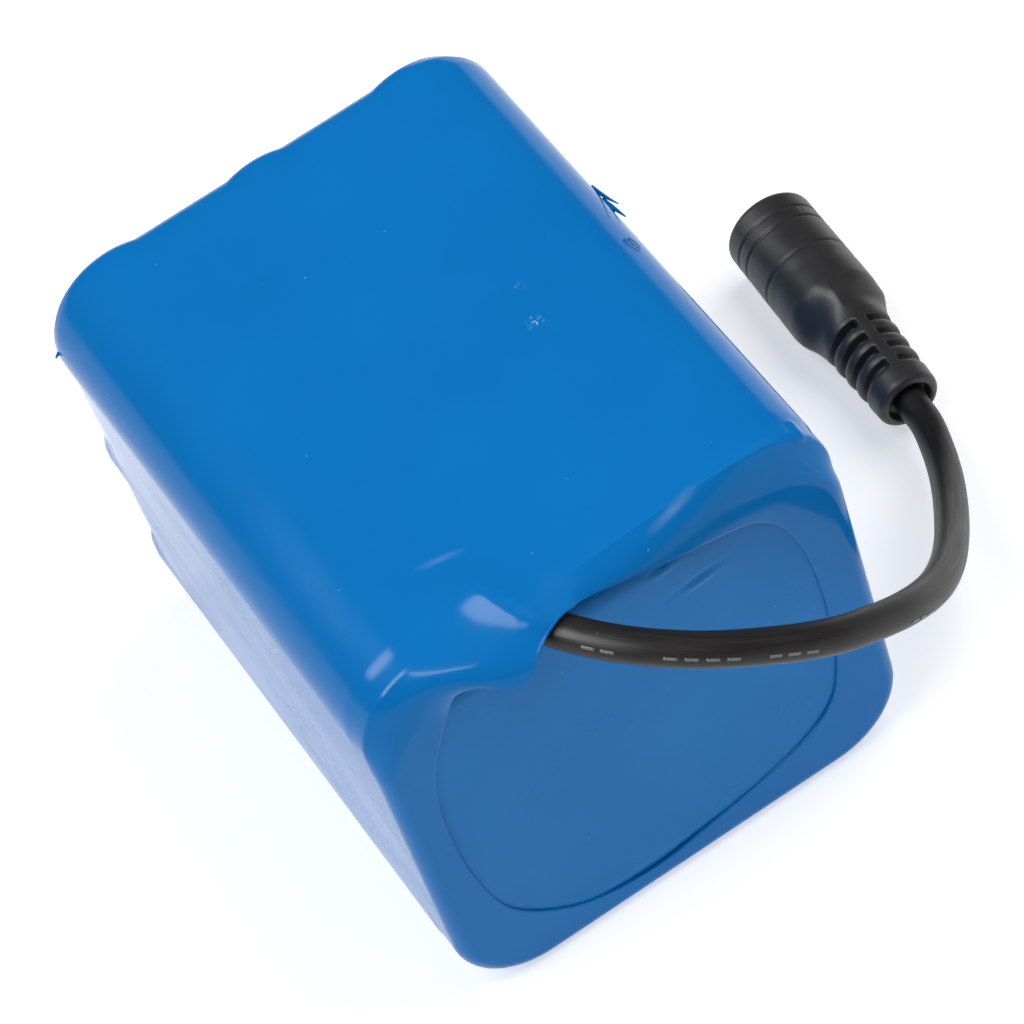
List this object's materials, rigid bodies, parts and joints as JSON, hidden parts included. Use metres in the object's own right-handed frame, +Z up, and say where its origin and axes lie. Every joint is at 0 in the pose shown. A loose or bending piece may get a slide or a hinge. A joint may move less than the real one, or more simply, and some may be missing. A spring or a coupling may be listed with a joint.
{
  "type": "battery pack",
  "caption": "Blue heat-shrunk rectangular battery pack of cylindrical lithium cells with a short black lead and a female inline DC socket.",
  "frame": {"origin": "centre of the flat base of the cell block, on the surface that the pack stands on", "axes": "+X across the pack, towards the side where the socket lies; +Y along the cells, away from the end where the lead comes out; +Z up"},
  "size_m": [0.0858, 0.0856, 0.0557],
  "materials": {
    "film": "glossy blue PVC heat-shrink film, opaque, with soft sheen",
    "end_plate": "satin blue insulating end plate",
    "cell_can": "bright nickel-plated can",
    "cell_wrap": "thin glossy green cell wrap",
    "nickel": "nickel strip and plated caps",
    "paper": "matte insulating paper",
    "circuit_board": "green solder mask",
    "chip": "black moulded packages",
    "wire_red": "red PVC insulation",
    "wire_white": "white PVC insulation",
    "wire_black": "black PVC insulation",
    "cable_jacket": "semi-matt black PVC jacket",
    "overmould": "satin black moulded PVC",
    "insert": "black moulded insert",
    "contact": "nickel-plated contact"
  },
  "bodies": {
    "pack": {"shrink_sleeve": "film", "front_end_plate": "end_plate", "rear_end_plate": "end_plate", "cell_can_1": "cell_can", "cell_can_2": "cell_can", "cell_can_3": "cell_can", "cell_can_4": "cell_can", "cell_can_5": "cell_can", "cell_can_6": "cell_can", "cell_can_7": "cell_can", "cell_can_8": "cell_can", "cell_can_9": "cell_can", "cell_wrap_1": "cell_wrap", "cell_wrap_2": "cell_wrap", "cell_wrap_3": "cell_wrap", "cell_wrap_4": "cell_wrap", "cell_wrap_5": "cell_wrap", "cell_wrap_6": "cell_wrap", "cell_wrap_7": "cell_wrap", "cell_wrap_8": "cell_wrap", "cell_wrap_9": "cell_wrap", "cell_cap_1": "nickel", "cell_cap_2": "nickel", "cell_cap_3": "nickel", "cell_cap_4": "nickel", "cell_cap_5": "nickel", "cell_cap_6": "nickel", "cell_cap_7": "nickel", "cell_cap_8": "nickel", "cell_cap_9": "nickel", "gasket_1": "paper", "gasket_2": "paper", "gasket_3": "paper", "negative_strip": "nickel", "front_series_strip": "nickel", "rear_series_strip": "nickel", "positive_strip": "nickel", "insulation_sheet": "paper", "protection_board": "circuit_board", "power_transistor_1": "chip", "power_transistor_2": "chip", "protection_chip": "chip", "sense_resistor": "chip", "positive_wire": "wire_red", "balance_wire": "wire_white", "core_red": "wire_red", "core_black": "wire_black", "output_cable": "cable_jacket", "connector_overmould": "overmould", "socket_insulator": "insert", "centre_pin": "contact"},
    "contact_spring": {"sleeve_contact": "contact"}
  },
  "joints": [
    {"name": "sleeve_contact_flex", "type": "hinge", "parent": "pack", "child": "contact_spring", "pos_m": [0.05162, 0.01817, 0.00925], "axis": [0.9985, -0.0541, 0], "range_deg": [0, 3.5], "stiffness_Nm_per_rad": 0.05}
  ]
}
